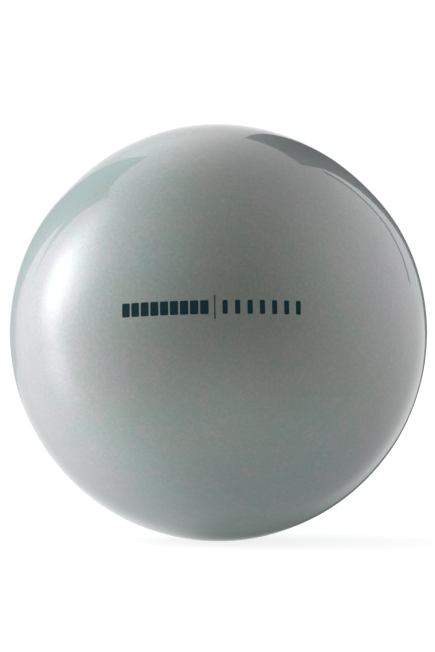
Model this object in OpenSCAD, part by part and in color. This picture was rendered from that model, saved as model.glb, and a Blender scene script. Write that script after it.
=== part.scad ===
// Small soft exercise ball, blown up and lying on a floor.
// The ball is one thin moulded skin, with a valve seat welded into a thick boss
// and a push-in plug that closes it.
// Frame: origin at the centre of the ball, +Z up. The valve looks along +Y
// and the print along -Y. All sizes are in millimetres.

/* [Ball] */
// Outer diameter of the inflated ball
ball_d = 220; // [180:1:280]
// Thickness of the moulded skin
skin_t = 0.8; // [0.6:0.1:1.6]
// Diameter of the patch that the ball's own weight presses flat on the floor
patch_d = 21; // [10:1:30]

/* [Plug] */
// Diameter of the plug's round head
head_d = 10.4; // [8:0.2:14]
// Thickness of the head at its middle
head_t = 1.6; // [1.2:0.1:2.4]
// Chamfer under the rim of the head, for a fingernail
head_chamfer = 0.4; // [0.2:0.1:0.5]
// Length of the straight shank under the head
shank_len = 10.5; // [8:0.5:14]
// Length of the tapered tip
tip_len = 2.5; // [1.5:0.5:4]
// How much slimmer the end of the tip is than the bore
tip_taper = 1.6; // [1:0.2:2.4]
// Number of relief grooves that leave sealing lands between them
groove_n = 2; // [1:1:3]
// Width of one relief groove
groove_w = 1.8; // [1:0.2:2.4]
// Depth of one relief groove
groove_depth = 0.3; // [0.2:0.05:0.5]

/* [Valve seat] */
// Diameter of the bore that the plug closes
bore_d = 5; // [4:0.2:7]
// Radial clearance between the shank and the bore
plug_clear = 0.05; // [0.02:0.01:0.09]
// Radial gap between the head and the wall of its recess
head_gap = 0.3; // [0.2:0.1:0.6]
// Wall of the seat's neck outside the recess
neck_wall = 2; // [1.8:0.1:3]
// Material left under the recess before the flange starts
neck_floor = 1.8; // [1.2:0.1:3]
// How far the flange reaches past the neck
flange_lip = 3.5; // [2:0.5:5]
// Thickness of the flange inside the ball
flange_t = 1.4; // [1:0.1:2]
// Wall of the tube that hangs into the ball
tube_wall = 2.2; // [1.5:0.1:3]
// How far the tube runs past the tip of the plug
tube_extra = 2; // [1:0.5:4]
// Diameter of each scallop that lets a fingernail under the head
scallop_d = 3; // [2:0.2:3.6]
// How far a scallop reaches past the wall of the recess
scallop_reach = 1.2; // [0.6:0.1:1.5]
// Number of scallops
scallop_n = 2; // [1:1:4]

/* [Boss] */
// How far the thick boss of the skin reaches past the seat's flange
boss_margin = 2; // [1:0.5:4]
// How much wider the boss is at the skin than at its inner face
boss_draft = 4; // [2:0.5:8]
// Clearance of the weld line between the seat and the boss
weld_gap = 0.1; // [0.05:0.05:0.2]

/* [Print] */
// Thickness of the ink
ink_t = 0.05; // [0.03:0.01:0.1]
// Height of the blocks and bars
ink_h = 7; // [5:0.5:12]
// Angle from the ball's equator up to the middle of the print
ink_up = 6.6; // [0:0.1:15]
// Angle by which the print's left end droops
ink_roll = 0.7; // [-3:0.1:3]
// Corner radius of the blocks and bars
ink_r = 0.6; // [0.2:0.1:0.7]
// Number of blocks left of the upright rule
block_n = 9; // [3:1:12]
// Width of one block
block_w = 4.2; // [3:0.1:4.6]
// Distance from one block to the next
block_pitch = 5.07; // [4.8:0.01:6]
// Number of bars right of the rule
bar_n = 7; // [3:1:9]
// Width of one bar
bar_w = 2.6; // [1.6:0.1:4]
// Distance from one bar to the next
bar_pitch = 6.23; // [5:0.01:7]
// Height of the upright rule between the blocks and the bars
rule_h = 12; // [8:0.5:16]
// Width of the rule
rule_w = 0.6; // [0.4:0.1:1.2]
// How far left of the middle plane the rule stands
rule_x = 1.5; // [0:0.1:4]
// Gap between the rule and the first block
block_gap = 3.1; // [2:0.1:6]
// Gap between the rule and the first bar
bar_gap = 3.8; // [2:0.1:6]

/* [Hidden] */
$fn = 96;
ball_fn = 360; // facets round anything as large as the ball
over = 1; // how far a cutter runs past the face that it cuts

ball_r = ball_d / 2;
patch_drop = ball_r - sqrt(pow(ball_r, 2) - pow(patch_d / 2, 2));
shank_d = bore_d - 2 * plug_clear;
tip_d = bore_d - tip_taper;
land_len = (shank_len - groove_n * groove_w) / (groove_n + 1);
recess_d = head_d + 2 * head_gap;
recess_y = ball_r - head_t;
neck_d = recess_d + 2 * neck_wall;
boss_y = recess_y - neck_floor;
flange_d = neck_d + 2 * flange_lip;
boss_d = flange_d + 2 * boss_margin;
tube_d = bore_d + 2 * tube_wall;
tube_y = recess_y - shank_len - tip_len - tube_extra;

// Turns a shape drawn along +Z so that it points along +Y, the way out of the valve.
module along_valve() rotate([-90, 0, 0]) children();

// A ball of radius r whose underside is pressed flat, leaving `below` under its centre.
module rested_ball(r, below) {
    intersection() {
        sphere(r, $fn = ball_fn);
        translate([-ball_d, -ball_d, -below]) cube(2 * ball_d);
    }
}

// Skin: an even wall, pressed flat where it rests, with a thick tapered boss round the valve.
module ball_skin() {
    floor_z = ball_r - patch_drop;
    color("darkseagreen")
    difference() {
        rested_ball(ball_r, floor_z);
        difference() {
            rested_ball(ball_r - skin_t, floor_z - skin_t);
            along_valve() translate([0, 0, boss_y])
                cylinder(h = ball_r - boss_y, d1 = boss_d, d2 = boss_d + boss_draft);
        }
        along_valve() translate([0, 0, boss_y - over])
            cylinder(h = ball_r - boss_y + 2 * over, d = neck_d + 2 * weld_gap);
    }
}

// Seat: a neck through the boss, a flange behind it and a tube that guides the plug.
module valve_seat() {
    color("gainsboro")
    difference() {
        intersection() {
            sphere(ball_r, $fn = ball_fn);
            along_valve() union() {
                translate([0, 0, boss_y]) cylinder(h = ball_r, d = neck_d);
                translate([0, 0, boss_y - flange_t]) cylinder(h = flange_t, d = flange_d);
                translate([0, 0, tube_y]) cylinder(h = boss_y - tube_y, d = tube_d);
            }
        }
        along_valve() {
            translate([0, 0, recess_y]) cylinder(h = ball_r, d = recess_d);
            translate([0, 0, tube_y - over]) cylinder(h = ball_r, d = bore_d);
            for (i = [0 : scallop_n - 1])
                rotate(i * 360 / scallop_n)
                    translate([recess_d / 2 + scallop_reach - scallop_d / 2, 0, recess_y])
                        cylinder(h = ball_r, d = scallop_d);
        }
    }
}

// Outline of one half of the plug, from its tip up to past the top of its head.
function shank_outline() = [
    for (i = [0 : groove_n - 1], corner = [[0, 1], [0, 0], [1, 0], [1, 1]])
        [
            shank_d / 2 - (corner[1] == 1 ? 0 : groove_depth),
            recess_y - shank_len + land_len + i * (land_len + groove_w) + corner[0] * groove_w
        ]
];

// Plug: a head that fills the recess flush with the ball, and a grooved shank with a tapered tip.
module valve_plug() {
    tip_y = recess_y - shank_len - tip_len;
    color("whitesmoke")
    intersection() {
        sphere(ball_r, $fn = ball_fn);
        along_valve() rotate_extrude() polygon(concat(
            [[0, tip_y], [tip_d / 2, tip_y], [shank_d / 2, recess_y - shank_len]],
            shank_outline(),
            [
                [shank_d / 2, recess_y],
                [head_d / 2 - head_chamfer, recess_y],
                [head_d / 2, recess_y + head_chamfer],
                [head_d / 2, ball_r],
                [0, ball_r + over]
            ]
        ));
    }
}

// Flat outline of one printed mark, centred, with round corners.
module mark_outline(w, h, r) {
    square([w - 2 * r, h], center = true);
    square([w, h - 2 * r], center = true);
    for (x = [-1, 1], y = [-1, 1])
        translate([x * (w / 2 - r), y * (h / 2 - r)]) circle(r);
}

// One mark standing out of the front of the ball, `along` millimetres to the right of the middle.
module mark(along, w, h, r) {
    rotate([0, 0, along / ball_r * 180 / PI]) rotate([90, 0, 0])
        translate([0, 0, ball_r - over]) linear_extrude(2 * over) mark_outline(w, h, r);
}

// Print: a row of blocks, an upright rule and a row of bars, as a film of ink on the skin.
module front_print() {
    block_start = -rule_x - block_gap - block_w / 2;
    bar_start = -rule_x + bar_gap + bar_w / 2;
    color("darkslategray")
    rotate([-ink_up, -ink_roll, 0])
    intersection() {
        difference() {
            sphere(ball_r + ink_t, $fn = ball_fn);
            sphere(ball_r, $fn = ball_fn);
        }
        union() {
            for (i = [0 : block_n - 1]) mark(block_start - i * block_pitch, block_w, ink_h, ink_r);
            mark(-rule_x, rule_w, rule_h, rule_w / 4);
            for (i = [0 : bar_n - 1]) mark(bar_start + i * bar_pitch, bar_w, ink_h, ink_r);
        }
    }
}

ball_skin();
valve_seat();
valve_plug();
front_print();
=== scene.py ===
import bmesh
import bpy
from math import asin, cos, pi, radians, sin, sqrt
from mathutils import Matrix, Vector


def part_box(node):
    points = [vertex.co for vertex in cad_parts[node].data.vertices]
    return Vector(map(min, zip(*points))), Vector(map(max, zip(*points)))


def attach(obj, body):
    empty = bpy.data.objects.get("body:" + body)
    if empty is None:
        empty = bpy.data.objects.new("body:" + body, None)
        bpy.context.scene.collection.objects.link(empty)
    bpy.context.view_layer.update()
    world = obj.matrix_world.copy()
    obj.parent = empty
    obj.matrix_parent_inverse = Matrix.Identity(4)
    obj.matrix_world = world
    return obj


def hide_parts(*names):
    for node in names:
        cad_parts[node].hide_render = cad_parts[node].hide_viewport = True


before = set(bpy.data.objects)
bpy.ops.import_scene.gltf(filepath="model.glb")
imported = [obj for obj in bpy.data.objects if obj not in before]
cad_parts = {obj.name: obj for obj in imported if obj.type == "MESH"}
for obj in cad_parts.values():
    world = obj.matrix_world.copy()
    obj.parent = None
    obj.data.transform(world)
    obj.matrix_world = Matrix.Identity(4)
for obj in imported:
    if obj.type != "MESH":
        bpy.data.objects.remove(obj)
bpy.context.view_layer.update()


# Ball skin. One closed skin of soft, pearly PVC, moulded in one piece and blown up, with an even wall that
# thickens into a boss round the valve. It is a lathed shell whose outside is slightly wavy, as soft skin is,
# and which its own weight presses flat on the floor.

MM = 0.001
skin_low, skin_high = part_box("ball_skin")
ball_r = skin_high.x
floor_z = skin_low.z
skin_t = 0.8 * MM
neck_hole_r = 7.6 * MM
boss_y = ball_r - 3.4 * MM
boss_r = 13 * MM
boss_foot_r = 15 * MM


def arc(radius, start, end, steps):
    """Points (distance from the axis, height along it) of a round stretch about the ball's centre.
    The angles are measured from the front pole."""
    angles = [start + (end - start) * i / steps for i in range(steps + 1)]
    return [(radius * sin(a), -radius * cos(a)) for a in angles]


def rounded(corners, steps=5):
    """An outline through corners (distance, height, fillet radius), each fillet drawn as an arc."""
    points = []
    for i, (x, y, fillet) in enumerate(corners):
        here = Vector((x, y))
        if fillet == 0:
            points.append((x, y))
            continue
        before = (Vector(corners[i - 1][:2]) - here).normalized()
        after = (Vector(corners[(i + 1) % len(corners)][:2]) - here).normalized()
        half = before.angle(after) / 2
        centre = here + (before + after).normalized() * fillet / sin(half)
        first = here + before * fillet * cos(half) / sin(half) - centre
        last = here + after * fillet * cos(half) / sin(half) - centre
        sweep = first.angle_signed(last)
        for k in range(steps + 1):
            points.append(tuple(centre + Matrix.Rotation(-sweep * k / steps, 2) @ first))
    return points


def lathe(name, outline, segments, closed=False, widen=None):
    """A piece turned about the valve's axis from an outline of (distance from the axis, height along it).
    A closed outline makes a ring. widen(distance, height, angle) may move a point outwards."""
    shape = bmesh.new()
    rings = []
    for distance, height in outline:
        if distance < 1e-9:
            rings.append([shape.verts.new((0, height, 0))])
            continue
        ring = []
        for k in range(segments):
            angle = 2 * pi * k / segments
            r = distance + (widen(distance, height, angle) if widen else 0)
            ring.append(shape.verts.new((r * cos(angle), height, r * sin(angle))))
        rings.append(ring)
    pairs = list(zip(rings, rings[1:]))
    if closed:
        pairs.append((rings[-1], rings[0]))
    for low, high in pairs:
        for k in range(segments):
            n = (k + 1) % segments
            corners = [high[k % len(high)], high[n % len(high)], low[n % len(low)], low[k % len(low)]]
            shape.faces.new(list(dict.fromkeys(corners)))
    mesh = bpy.data.meshes.new(name)
    shape.to_mesh(mesh)
    shape.free()
    mesh.shade_smooth()
    mesh.set_sharp_from_angle(angle=radians(35))
    piece = bpy.data.objects.new(name, mesh)
    bpy.context.scene.collection.objects.link(piece)
    return piece


class Socket:
    """A node's output. Python's operators on it add Math nodes."""

    def __init__(self, tree, output):
        self.tree = tree
        self.output = output

    def math(self, operation, *values):
        return self.tree.add("ShaderNodeMath", {"operation": operation}, dict(enumerate(values)))

    def __add__(self, other):
        return self.math("ADD", self, other)

    def __sub__(self, other):
        return self.math("SUBTRACT", self, other)

    def __rsub__(self, other):
        return self.math("SUBTRACT", other, self)

    def __mul__(self, other):
        return self.math("MULTIPLY", self, other)

    def __truediv__(self, other):
        return self.math("DIVIDE", self, other)

    def __rtruediv__(self, other):
        return self.math("DIVIDE", other, self)

    def __pow__(self, other):
        return self.math("POWER", self, other)

    __radd__ = __add__
    __rmul__ = __mul__


class Tree:
    """A node tree under construction."""

    def __init__(self, tree):
        self.nodes = tree.nodes
        self.links = tree.links
        self.nodes.clear()

    def add(self, kind, settings=None, inputs=None, output=0):
        """Adds a node, applies its settings, then fills its sockets with values or links."""
        node = self.nodes.new(kind)
        for key, value in (settings or {}).items():
            setattr(node, key, value)
        for key, value in (inputs or {}).items():
            if isinstance(value, Socket):
                self.links.new(value.output, node.inputs[key])
            elif isinstance(value, list):
                for part in value:
                    self.links.new(part.output, node.inputs[key])
            else:
                node.inputs[key].default_value = value
        return Socket(self, node.outputs[output]) if node.outputs else None

    def vector(self, operation, *values, output=0):
        """Vector maths. The sum of two positions, the length of one and so on."""
        return self.add("ShaderNodeVectorMath", {"operation": operation}, dict(enumerate(values)), output)

    def stretch(self, place, by):
        """A vector made longer by a number."""
        return self.add("ShaderNodeVectorMath", {"operation": "SCALE"}, {0: place, "Scale": by})

    def length(self, place):
        return self.vector("LENGTH", place, output="Value")

    def parts(self, place):
        """The three numbers of a vector."""
        return [self.add("ShaderNodeSeparateXYZ", {}, {0: place}, axis) for axis in "XYZ"]

    def place(self, x, y, z):
        return self.add("ShaderNodeCombineXYZ", {}, {0: x, 1: y, 2: z})

    def smooth(self, value, start, end):
        """Rises softly from 0 to 1 as the value goes from start to end."""
        ends = {"Value": value, "From Min": start, "From Max": end}
        return self.add("ShaderNodeMapRange", {"interpolation_type": "SMOOTHSTEP"}, ends)

    def mix(self, factor, a, b):
        """Blends two colours."""
        a, b = (c if isinstance(c, Socket) else (*c, 1) for c in (a, b))
        return self.add("ShaderNodeMix", {"data_type": "RGBA"}, {0: factor, 6: a, 7: b}, 2)

    def noise(self, place, scale, detail=2, roughness=0.5):
        sizes = {"Vector": place, "Scale": scale, "Detail": detail, "Roughness": roughness}
        return self.add("ShaderNodeTexNoise", {}, sizes)


def material(name):
    """A new material, its tree and the object coordinates that its patterns use."""
    made = bpy.data.materials.new(name)
    made.use_nodes = True
    tree = Tree(made.node_tree)
    return made, tree, tree.add("ShaderNodeTexCoord", output="Object")


def finish(tree, height=None, depth=0, **sockets):
    """Ends a material in one Principled surface, with a bump of the given depth."""
    inputs = {key.replace("_", " "): value for key, value in sockets.items()}
    if height:
        inputs["Normal"] = tree.add("ShaderNodeBump", {}, {"Distance": depth, "Height": height})
    surface = tree.add("ShaderNodeBsdfPrincipled", {}, inputs)
    tree.add("ShaderNodeOutputMaterial", {}, {"Surface": surface})


def shape_rule(name, sizes):
    """An empty Geometry Nodes tree with a named input for each size, and those inputs by name."""
    group = bpy.data.node_groups.new(name, "GeometryNodeTree")
    group.interface.new_socket("Geometry", in_out="INPUT", socket_type="NodeSocketGeometry")
    group.interface.new_socket("Geometry", in_out="OUTPUT", socket_type="NodeSocketGeometry")
    for size in sizes:
        kind = "NodeSocketInt" if size.startswith("Number") else "NodeSocketFloat"
        group.interface.new_socket(size, in_out="INPUT", socket_type=kind)
    tree = Tree(group)
    return group, tree, {key: tree.add("NodeGroupInput", output=key) for key in ("Geometry", *sizes)}


def close_rule(tree, geometry, mat):
    """Ends a Geometry Nodes tree in real geometry of one material."""
    real = tree.add("GeometryNodeRealizeInstances", {}, {"Geometry": geometry})
    coated = tree.add("GeometryNodeSetMaterial", {}, {"Geometry": real, "Material": mat})
    tree.add("NodeGroupOutput", {}, {"Geometry": coated})


def apply_rule(piece, group, *runs):
    """Runs a Geometry Nodes tree on a piece once for each set of sizes, and keeps the outcome as its mesh."""
    for sizes in runs:
        modifier = piece.modifiers.new(group.name, "NODES")
        modifier.node_group = group
        for item in group.interface.items_tree:
            if item.in_out == "INPUT" and item.name in sizes:
                modifier[item.identifier] = sizes[item.name]
    now = bpy.context.evaluated_depsgraph_get()
    mesh = bpy.data.meshes.new_from_object(piece.evaluated_get(now), depsgraph=now)
    piece.modifiers.clear()
    piece.data = mesh
    mesh.name = piece.name
    if None in list(mesh.materials):
        coat = [mat for mat in mesh.materials if mat]
        mesh.materials.clear()
        mesh.materials.append(coat[0])


skin_mat, tree, place = material("pearly PVC")
x, y, z = tree.parts(place)
cloud = tree.noise(place, 16, 3, 0.55)
swirl = tree.noise(place, 60, 4, 0.6)
patches = tree.noise(place, 110, 4, 0.65)
flakes = tree.noise(place, 650, 3, 0.8)
drift = (cloud - 0.5) * 0.12
# Painted light: the skin's grey-green is its own, but these masks tint it by place to follow the studio
# light. They paint a lavender highlight tint towards the rim and on the left, where the highlights lie, teal
# low down and left of the middle, and olive in the dim middle. The swirls, patches and flakes after them are
# the pearl's own random tone.
low = tree.smooth(z + drift, -0.03, -0.09)
band = x + 0.05 + drift
left = tree.smooth(band.math("ABSOLUTE", band), 0.04, 0.0)
teal = low.math("MAXIMUM", low, left * tree.smooth(z + drift, -0.02, 0.03) * 0.8)
side = tree.smooth(tree.length(tree.place(x, 0, z)) + drift, 0.06, 0.11)
painted_highlight_lavender = tree.smooth(drift - x, 0.03, 0.08)
tint = tree.mix(side, (0.237, 0.268, 0.231), (0.265, 0.26, 0.274))
tint = tree.mix(teal * (1 - side * 0.15), tint, (0.185, 0.268, 0.262))
tint = tree.mix(painted_highlight_lavender * 0.7, tint, (0.26, 0.264, 0.296))
tint = tree.mix(tree.smooth(swirl, 0.4, 0.75) * 0.3, tint, (0.236, 0.268, 0.262))
tint = tree.mix(tree.smooth(patches, 0.5, 0.65) * 0.45, tint, (0.295, 0.266, 0.288))
tint = tree.mix(tree.smooth(patches, 0.5, 0.35) * 0.45, tint, (0.218, 0.28, 0.255))
tint = tree.mix(tree.smooth(flakes, 0.45, 0.75) * 0.35, tint, (0.35, 0.37, 0.36))
tint = tree.mix(tree.smooth(flakes, 0.55, 0.25) * 0.35, tint, (0.19, 0.205, 0.195))
finish(
    tree,
    height=tree.noise(place, 420, 3),
    depth=0.00004,
    Base_Color=tint,
    Metallic=0.6,
    Roughness=swirl * 0.06 + 0.37,
    Coat_Weight=1.0,
    Coat_Roughness=0.03,
)

outer = arc(ball_r, 0, pi - asin((neck_hole_r + 0.4 * MM) / ball_r), 176)
inner = arc(ball_r - skin_t, pi - asin(boss_foot_r / ball_r), 0, 56)
rim_y = sqrt(ball_r**2 - neck_hole_r**2)
boss_corners = [
    (*outer[-1], 0),
    (neck_hole_r, rim_y, 0.15 * MM),
    (neck_hole_r, boss_y, 0.15 * MM),
    (boss_r, boss_y, 0.8 * MM),
    (*inner[0], 0),
]
skin = lathe("skin", outer[:-1] + rounded(boss_corners) + inner[1:], 320)

skin_rule, tree, size = shape_rule(
    "soft skin at rest",
    ["Ball radius", "Floor height", "Wave depth", "Shoulder depth", "Sink depth", "Sink radius"],
)
place = tree.add("GeometryNodeInputPosition")
outwards = tree.vector("NORMALIZE", place)
x, y, z = tree.parts(outwards)
waves = tree.smooth(tree.noise(outwards, 2.6, 2, 0.35), 0.25, 0.75)
off_print = tree.smooth(tree.length(tree.place(x * 2, 0, z * 8 - 0.92)), 1.0, 2.2)
in_front = tree.smooth(0 - y, 0.0, 0.3)
off_valve = 1 - tree.smooth(y, 0.93, 0.985)
calm = (1 - (1 - off_print) * in_front) * off_valve
valve_distance = tree.length(tree.place(x, 0, z)) * size["Ball radius"]
beside = (valve_distance - size["Sink radius"]) / (size["Sink radius"] * 0.3)
sink = tree.smooth(beside * beside, 1.0, 0.0) * tree.smooth(y, 0.0, 0.5)
from_shoulder = z - 0.75
shoulder = tree.smooth(from_shoulder.math("ABSOLUTE", from_shoulder), 0.35, 0.0) * size["Shoulder depth"]
inwards = waves * calm * size["Wave depth"] + sink * size["Sink depth"] + shoulder
pressed = tree.vector("SUBTRACT", place, tree.stretch(outwards, inwards))
x, y, z = tree.parts(pressed)
under_skin = size["Ball radius"] - tree.length(place)
lowest = size["Floor height"] + under_skin
flat = tree.place(x, y, z.math("SMOOTH_MAX", z, lowest, 0.02 * MM))
moved = tree.add("GeometryNodeSetPosition", {}, {"Geometry": size["Geometry"], "Position": flat})
close_rule(tree, moved, skin_mat)
apply_rule(skin, skin_rule, {
    "Ball radius": ball_r,
    "Floor height": floor_z,
    "Wave depth": 0.22 * MM,
    "Shoulder depth": 0.8 * MM,
    "Sink depth": 0.05 * MM,
    "Sink radius": boss_r,
})
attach(skin, "ball")
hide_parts("ball_skin")


# Valve seat. A bush of thicker, satin PVC that is welded into the boss. It has a recess for the plug's head,
# two scallops for a fingernail, a flange inside the ball and a tube with a rounded lip that grips the plug.

seat_low, seat_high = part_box("valve_seat")
bore_r = 2.5 * MM
recess_r = 5.5 * MM
recess_y = 108.4 * MM
neck_r = 7.5 * MM
flange_r = seat_high.x
flange_y = boss_y - 1.4 * MM
tube_r = bore_r + 2.2 * MM
tube_y = seat_low.y
scallop_r = 1.5 * MM
scallop_off = 5.2 * MM


def scallops(distance, height, angle):
    """How far the wall of the recess gives way to the two scallops."""
    if height < recess_y - 0.01 * MM or abs(distance - recess_r) > 0.4 * MM:
        return 0
    across = scallop_off * abs(sin(angle))
    if across >= scallop_r:
        return 0
    return max(0, scallop_off * abs(cos(angle)) + sqrt(scallop_r**2 - across**2) - recess_r)


seat_corners = [
    (bore_r, tube_y, 0.6 * MM),
    (tube_r, tube_y, 0.8 * MM),
    (tube_r, flange_y, 0.8 * MM),
    (flange_r, flange_y, 0.5 * MM),
    (flange_r, boss_y, 0.2 * MM),
    (neck_r, boss_y, 0.1 * MM),
    (neck_r, sqrt(ball_r**2 - neck_r**2), 0.15 * MM),
    (recess_r, sqrt(ball_r**2 - recess_r**2), 0.3 * MM),
    (recess_r, recess_y, 0.25 * MM),
    (bore_r, recess_y, 0.15 * MM),
]
seat = lathe("seat", rounded(seat_corners), 256, closed=True, widen=scallops)

seat_mat, tree, place = material("satin PVC of the seat")
mottle = tree.noise(place, 260, 3)
tint = tree.mix(tree.smooth(mottle, 0.3, 0.7), (0.15, 0.185, 0.17), (0.185, 0.22, 0.2))
finish(
    tree,
    height=tree.noise(place, 2600, 2),
    depth=0.00002,
    Base_Color=tint,
    Roughness=mottle * 0.16 + 0.3,
    Coat_Weight=0.15,
    Coat_Roughness=0.2,
)
seat.data.materials.append(seat_mat)
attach(seat, "ball")
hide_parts("valve_seat")


# Valve plug. A push-in stopper of off-white, slightly waxy plastic, moulded in one piece. Its head is flush
# with the ball, and its shank has three sealing lands with relief grooves between them and a tapered tip.

plug_low, plug_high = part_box("valve_plug")
head_r = plug_high.x
head_chamfer = 0.4 * MM
shank_r = 2.45 * MM
groove_depth = 0.3 * MM
groove_r = shank_r - groove_depth
tip_y = plug_low.y
shank_y = tip_y + 2.5 * MM
tip_r = 1.7 * MM
gate_r = 0.9 * MM
gate_depth = 0.12 * MM
land_len = 2.3 * MM
groove_w = 1.8 * MM


def dome(distance, below=0):
    """A point of the head's domed top, or the given depth below it."""
    return (distance, sqrt(ball_r**2 - distance**2) - below)


plug_corners = [
    (0, tip_y, 0),
    (tip_r, tip_y, 0.5 * MM),
    (shank_r, shank_y, 0.6 * MM),
]
for i in range(2):
    start = shank_y + land_len + i * (land_len + groove_w)
    plug_corners += [
        (shank_r, start, 0.15 * MM),
        (groove_r, start, 0.12 * MM),
        (groove_r, start + groove_w, 0.12 * MM),
        (shank_r, start + groove_w, 0.15 * MM),
    ]
plug_corners += [
    (shank_r, recess_y, 0.2 * MM),
    (head_r - head_chamfer, recess_y, 0.1 * MM),
    (head_r, recess_y + head_chamfer, 0.15 * MM),
    (*dome(head_r), 0.25 * MM),
    (*dome(4 * MM), 0),
    (*dome(3 * MM), 0),
    (*dome(2 * MM), 0),
    (*dome(gate_r + 0.15 * MM), 0.1 * MM),
    (*dome(gate_r, gate_depth), 0.05 * MM),
    (0, ball_r - gate_depth, 0),
]
plug = lathe("plug", rounded(plug_corners), 160)

plug_mat, tree, place = material("waxy white plastic")
mottle = tree.noise(place, 300, 3)
tint = tree.mix(tree.smooth(mottle, 0.3, 0.7), (0.66, 0.66, 0.61), (0.76, 0.76, 0.72))
finish(
    tree,
    height=tree.noise(place, 1800, 3),
    depth=0.00002,
    Base_Color=tint,
    Roughness=mottle * 0.15 + 0.34,
    Subsurface_Weight=0.15,
    Subsurface_Radius=(0.002, 0.002, 0.0016),
    Subsurface_Scale=1.0,
)
plug.data.materials.append(plug_mat)
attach(plug, "plug")
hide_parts("valve_plug")


# Front print. A thin film of dark teal ink, pad-printed straight on the skin: a row of blocks, an upright
# rule and a row of bars. Each mark is a rounded slab that is pressed onto the ball and repeated round it.

ink_mat, tree, place = material("dark teal ink")
patchy = tree.noise(place, 900, 3, 0.6)
tint = tree.mix(tree.smooth(patchy, 0.35, 0.8), (0.004, 0.028, 0.035), (0.008, 0.042, 0.05))
finish(
    tree,
    height=tree.noise(place, 3000, 2),
    depth=0.00001,
    Base_Color=tint,
    Roughness=patchy * 0.2 + 0.4,
    Specular_IOR_Level=0.1,
)

marks, tree, size = shape_rule("row of printed marks", [
    "Ball radius", "Ink thickness", "Number of marks", "Mark width", "Mark height", "Corner radius",
    "First mark", "Spacing", "Turn up", "Roll",
])
slab = tree.add("GeometryNodeMeshCube", {}, {
    "Size": tree.place(size["Mark width"], size["Ink thickness"], size["Mark height"]),
    "Vertices X": 15,
    "Vertices Y": 2,
    "Vertices Z": 25,
})
place = tree.add("GeometryNodeInputPosition")
x, y, z = tree.parts(place)
reach = tree.vector("ABSOLUTE", place)
core = tree.place(
    size["Mark width"] / 2 - size["Corner radius"],
    size["Ink thickness"],
    size["Mark height"] / 2 - size["Corner radius"],
)
past = tree.vector("MAXIMUM", tree.vector("SUBTRACT", reach, core), (0, 0, 0))
past_x, past_y, past_z = tree.parts(past)
past_length = tree.length(past)
pull = past_x.math("MAXIMUM", past_x, past_z) / past_length.math("MAXIMUM", past_length, 1e-9)
corner = tree.vector("ADD", tree.vector("MINIMUM", reach, core), tree.stretch(past, pull))
side = tree.vector("MULTIPLY", corner, tree.vector("SIGN", place))
x, unused, z = tree.parts(side)
shell_r = size["Ball radius"] + size["Ink thickness"] / 2 - y
on_ball = tree.place(x, 0 - (shell_r * shell_r - x * x - z * z) ** 0.5, z)
mark = tree.add("GeometryNodeSetPosition", {}, {"Geometry": slab, "Position": on_ball})
row = tree.add("GeometryNodeMeshLine", {}, {"Count": size["Number of marks"], "Offset": (0, 0, 0)})
along = tree.add("GeometryNodeInputIndex") * size["Spacing"] + size["First mark"]
turn = tree.place(0, 0, along / size["Ball radius"])
placed = tree.add("GeometryNodeInstanceOnPoints", {}, {
    "Points": row,
    "Instance": mark,
    "Rotation": tree.add("FunctionNodeEulerToRotation", {}, {0: turn}),
})
tilt = tree.place(0 - size["Turn up"], 0 - size["Roll"], 0)
turned = tree.add("GeometryNodeTransform", {}, {
    "Geometry": placed,
    "Rotation": tree.add("FunctionNodeEulerToRotation", {}, {0: tilt}),
})
joined = tree.add("GeometryNodeJoinGeometry", {}, {"Geometry": [size["Geometry"], turned]})
close_rule(tree, joined, ink_mat)

blocks = {
    "Ball radius": ball_r,
    "Ink thickness": 0.05 * MM,
    "Number of marks": 9,
    "Mark width": 4.2 * MM,
    "Mark height": 7 * MM,
    "Corner radius": 0.6 * MM,
    "First mark": -6.7 * MM,
    "Spacing": -5.07 * MM,
    "Turn up": radians(6.6),
    "Roll": radians(0.7),
}
rule = blocks | {
    "Number of marks": 1,
    "Mark width": 0.6 * MM,
    "Mark height": 12 * MM,
    "Corner radius": 0.15 * MM,
    "First mark": -1.5 * MM,
}
bars = blocks | {
    "Number of marks": 7,
    "Mark width": 2.6 * MM,
    "First mark": 3.6 * MM,
    "Spacing": 6.23 * MM,
}
ink = bpy.data.objects.new("print", bpy.data.meshes.new("print"))
bpy.context.scene.collection.objects.link(ink)
apply_rule(ink, marks, blocks, rule, bars)
ink.data.shade_smooth()
ink.data.set_sharp_from_angle(angle=radians(40))
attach(ink, "ball")
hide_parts("front_print")


# Floor and backdrop. A plain white floor before a white background, which gloss shows too where it lies
# behind the ball. Elsewhere the room lights the ball softly, most from the left and least from the front.

def towards(azimuth, elevation):
    """The direction at an azimuth from the front, turning to the right, and an elevation, both in degrees."""
    a, e = radians(azimuth), radians(elevation)
    return Vector((cos(e) * sin(a), -cos(e) * cos(a), sin(e)))


floor_half = 60.0
floor_mesh = bpy.data.meshes.new("floor")
floor_mesh.from_pydata(
    [(x * floor_half, y * floor_half, floor_z) for x, y in ((-1, -1), (1, -1), (1, 1), (-1, 1))],
    [],
    [(0, 1, 2, 3)],
)
floor = bpy.data.objects.new("floor", floor_mesh)
bpy.context.scene.collection.objects.link(floor)
floor.visible_glossy = False
floor.visible_shadow = False
floor_mat, tree, place = material("white floor")
ray = tree.add("ShaderNodeLightPath", output="Is Camera Ray")
lit = tree.add("ShaderNodeBsdfDiffuse", {}, {"Color": (0.35, 0.35, 0.35, 1)})
white = tree.add("ShaderNodeEmission", {}, {"Strength": 0.8})
seen = tree.add("ShaderNodeAddShader", {}, {0: lit, 1: white})
unseen = tree.add("ShaderNodeBsdfDiffuse", {}, {"Color": (0.5, 0.5, 0.5, 1)})
mixed = tree.add("ShaderNodeMixShader", {}, {0: ray, 1: unseen, 2: seen})
tree.add("ShaderNodeOutputMaterial", {}, {"Surface": mixed})
floor_mesh.materials.append(floor_mat)

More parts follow.
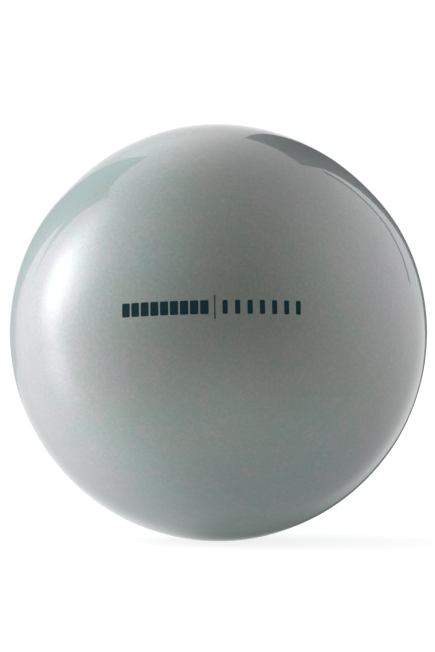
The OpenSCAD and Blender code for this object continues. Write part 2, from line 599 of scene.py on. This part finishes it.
world = bpy.data.worlds.new("studio")
bpy.context.scene.world = world
world.use_nodes = True
tree = Tree(world.node_tree)
direct = tree.add("ShaderNodeLightPath", output="Is Camera Ray")
through = tree.add("ShaderNodeLightPath", output="Is Transmission Ray")
glossy = tree.add("ShaderNodeLightPath", output="Is Glossy Ray")
direction = tree.add("ShaderNodeTexCoord", output="Generated")
backwards = tree.parts(direction)[1]
mirrored = glossy * tree.smooth(backwards, 0.7, 0.95)
ray = direct.math("MAXIMUM", direct.math("MAXIMUM", direct, through), mirrored)
left_wall = (-110, 10, 4, 1.7)
left_floor = (-95, -40, 9, 1.1)
front_floor = (0, -45, 9, 0.65)
right_floor = (90, -45, 9, 0.5)
back_floor = (180, -60, 9, 0.25)
right_side = (75, 0, 9, 0.35)
right_wall = (130, 15, 9, 0.9)
right_ceiling = (80, 40, 9, 0.5)
left_ceiling = (-60, 40, 9, 0.55)
back_ceiling = (-150, 45, 16, 0.9)
room = 0.12
for azimuth, elevation, tightness, brightness in (
    left_wall, left_floor, front_floor, right_floor, back_floor,
    right_side, right_wall, right_ceiling, left_ceiling, back_ceiling,
):
    nearness = tree.vector("DOT_PRODUCT", direction, towards(azimuth, elevation), output="Value")
    facing = nearness * 0.5 + 0.5
    room = facing.math("MAXIMUM", facing, 0) ** tightness * brightness + room
strength = ray + (1 - ray) * room
back = tree.add("ShaderNodeBackground", {}, {"Color": (1, 1, 1, 1), "Strength": strength})
tree.add("ShaderNodeOutputWorld", {}, {"Surface": back})


# Lights. A column of soft-edged panels at the left makes the one bright highlight. Behind the ball its gloss
# mirrors a dim panel at the left, a black card with a bright edge and an arm at the right, and a dark floor.

def softbox(name, azimuth, elevation, width, height, radiance):
    """A panel light 1 m from the ball that faces it and fades towards its edges."""
    lamp = bpy.data.lights.new(name, "AREA")
    lamp.shape = "RECTANGLE"
    lamp.size = width
    lamp.size_y = height
    lamp.energy = radiance * pi * width * height
    lamp.use_nodes = True
    tree = Tree(lamp.node_tree)
    u, v, unused = tree.parts(tree.add("ShaderNodeNewGeometry", output="Parametric"))
    across = tree.smooth(u.math("MINIMUM", u, 1 - u), 0.0, 0.5)
    upwards = tree.smooth(v.math("MINIMUM", v, 1 - v), 0.0, 0.5)
    glow = tree.add("ShaderNodeEmission", {}, {"Strength": across * upwards})
    tree.add("ShaderNodeOutputLight", {}, {"Surface": glow})
    box = bpy.data.objects.new(name, lamp)
    box.location = towards(azimuth, elevation)
    box.rotation_euler = (-box.location).to_track_quat("-Z", "Y").to_euler()
    box.visible_camera = False
    bpy.context.scene.collection.objects.link(box)


softbox("key", -100, 15, 0.5, 0.8, 3.1)
softbox("key upper", -100, 35, 0.5, 0.8, 1.5)
softbox("key lower", -95, -10, 0.5, 0.8, 1.5)
softbox("key front", -90, 20, 0.6, 0.9, 2)


def bow(start, pull, end, steps=12):
    """Points along a quadratic curve from start to end, drawn towards the pull point."""
    curve = []
    for step in range(steps + 1):
        t = step / steps
        weights = ((1 - t)**2, 2 * t * (1 - t), t**2)
        curve.append(tuple(sum(w * v for w, v in zip(weights, values)) for values in zip(start, pull, end)))
    return curve


card_distance = 2.2


def card(name, corners, near, far, shade=None):
    """A flat card behind the ball, through corners given as slopes to the right and up. Its glow runs from
    one colour near the axis to another far from it. A shade (centre, half sizes) lets a card, set a little
    further back, fade out softly."""
    mesh = bpy.data.meshes.new(name)
    depth = card_distance + 0.01 if shade else card_distance
    mesh.from_pydata([(x * depth, depth, z * depth) for x, z in corners], [], [range(len(corners))])
    made = bpy.data.objects.new(name, mesh)
    mat, tree, place = material(name)
    x, y, z = tree.parts(place)
    out = tree.length(tree.place(x / depth, 0, z / depth))
    surface = tree.add("ShaderNodeEmission", {}, {"Color": tree.mix(tree.smooth(out, 0.3, 1.2), near, far)})
    if shade:
        across, upwards, half_width, half_height = shade
        off = tree.place((x / depth - across) / half_width, 0, (z / depth - upwards) / half_height)
        solid = tree.smooth(tree.length(off), 1.0, 0.3)
        clear = tree.add("ShaderNodeBsdfTransparent")
        surface = tree.add("ShaderNodeMixShader", {}, {0: solid, 1: clear, 2: surface})
    tree.add("ShaderNodeOutputMaterial", {}, {"Surface": surface})
    mesh.materials.append(mat)
    made.visible_camera = False
    bpy.context.scene.collection.objects.link(made)


inner_side = bow((-0.25, 0.2), (-0.45, 0.6), (-0.5, 1.3))
top_side = bow((-0.5, 1.3), (-1.2, 1.4), (-1.6, 2.1))
outer_side = bow((-1.6, 2.1), (-1.25, 1.2), (-1.25, 0.3))
lower_side = bow((-1.05, 0.8), (-0.9, 0.4), (-0.65, 0.1))
card("dim panel", inner_side + top_side + outer_side + lower_side + [(-0.65, -0.1), (-0.25, -0.1)],
     (0.55, 0.65, 0.65), (0.85, 1.15, 1.1))
card_side = bow((0.4, 0), (0.45, 0.4), (0.6, 1))
arm_side = bow((0.6, 0.95), (0.55, 0.4), (0.85, 0.2))
arm_back = bow((0.9, 0.25), (0.6, 0.45), (0.65, 0.95))
card("black card", [(0.1, -0.4), (0.2, -0.4)] + card_side + [(0.65, 1.3), (0.15, 1)],
     (0.12, 0.14, 0.14), (0.09, 0.13, 0.13))
card("bright edge", card_side + arm_side, (0.75, 0.8, 0.8), (1.3, 1.35, 1.4))
card("arm of the card", arm_side + arm_back, (0.1, 0.1, 0.1), (0.1, 0.1, 0.1))
card("dark floor", [(-0.5, -2.2), (0.9, -2.2), (0.9, -0.05), (-0.5, -0.05)],
     (0.1, 0.12, 0.11), (0.4, 0.45, 0.4), (0.15, -0.9, 0.4, 1.1))


# Camera. Level with the ball, far enough away for little perspective.

camera_data = bpy.data.cameras.new("camera")
camera = bpy.data.objects.new("camera", camera_data)
bpy.context.scene.collection.objects.link(camera)
bpy.context.scene.camera = camera
camera_distance = 1.8
frame_share = 0.961
camera_data.sensor_fit = "HORIZONTAL"
camera_data.sensor_width = 36
ball_tangent = ball_r / sqrt(camera_distance**2 - ball_r**2)
camera_data.lens = 18 * frame_share / ball_tangent
aim = Vector((-0.00035, 0, 0.0034))
camera.location = Vector((0, -camera_distance, 0))
camera.rotation_euler = (aim - camera.location).to_track_quat("-Z", "Y").to_euler()
camera_data.clip_end = 200

bpy.context.scene.view_settings.view_transform = "Standard"
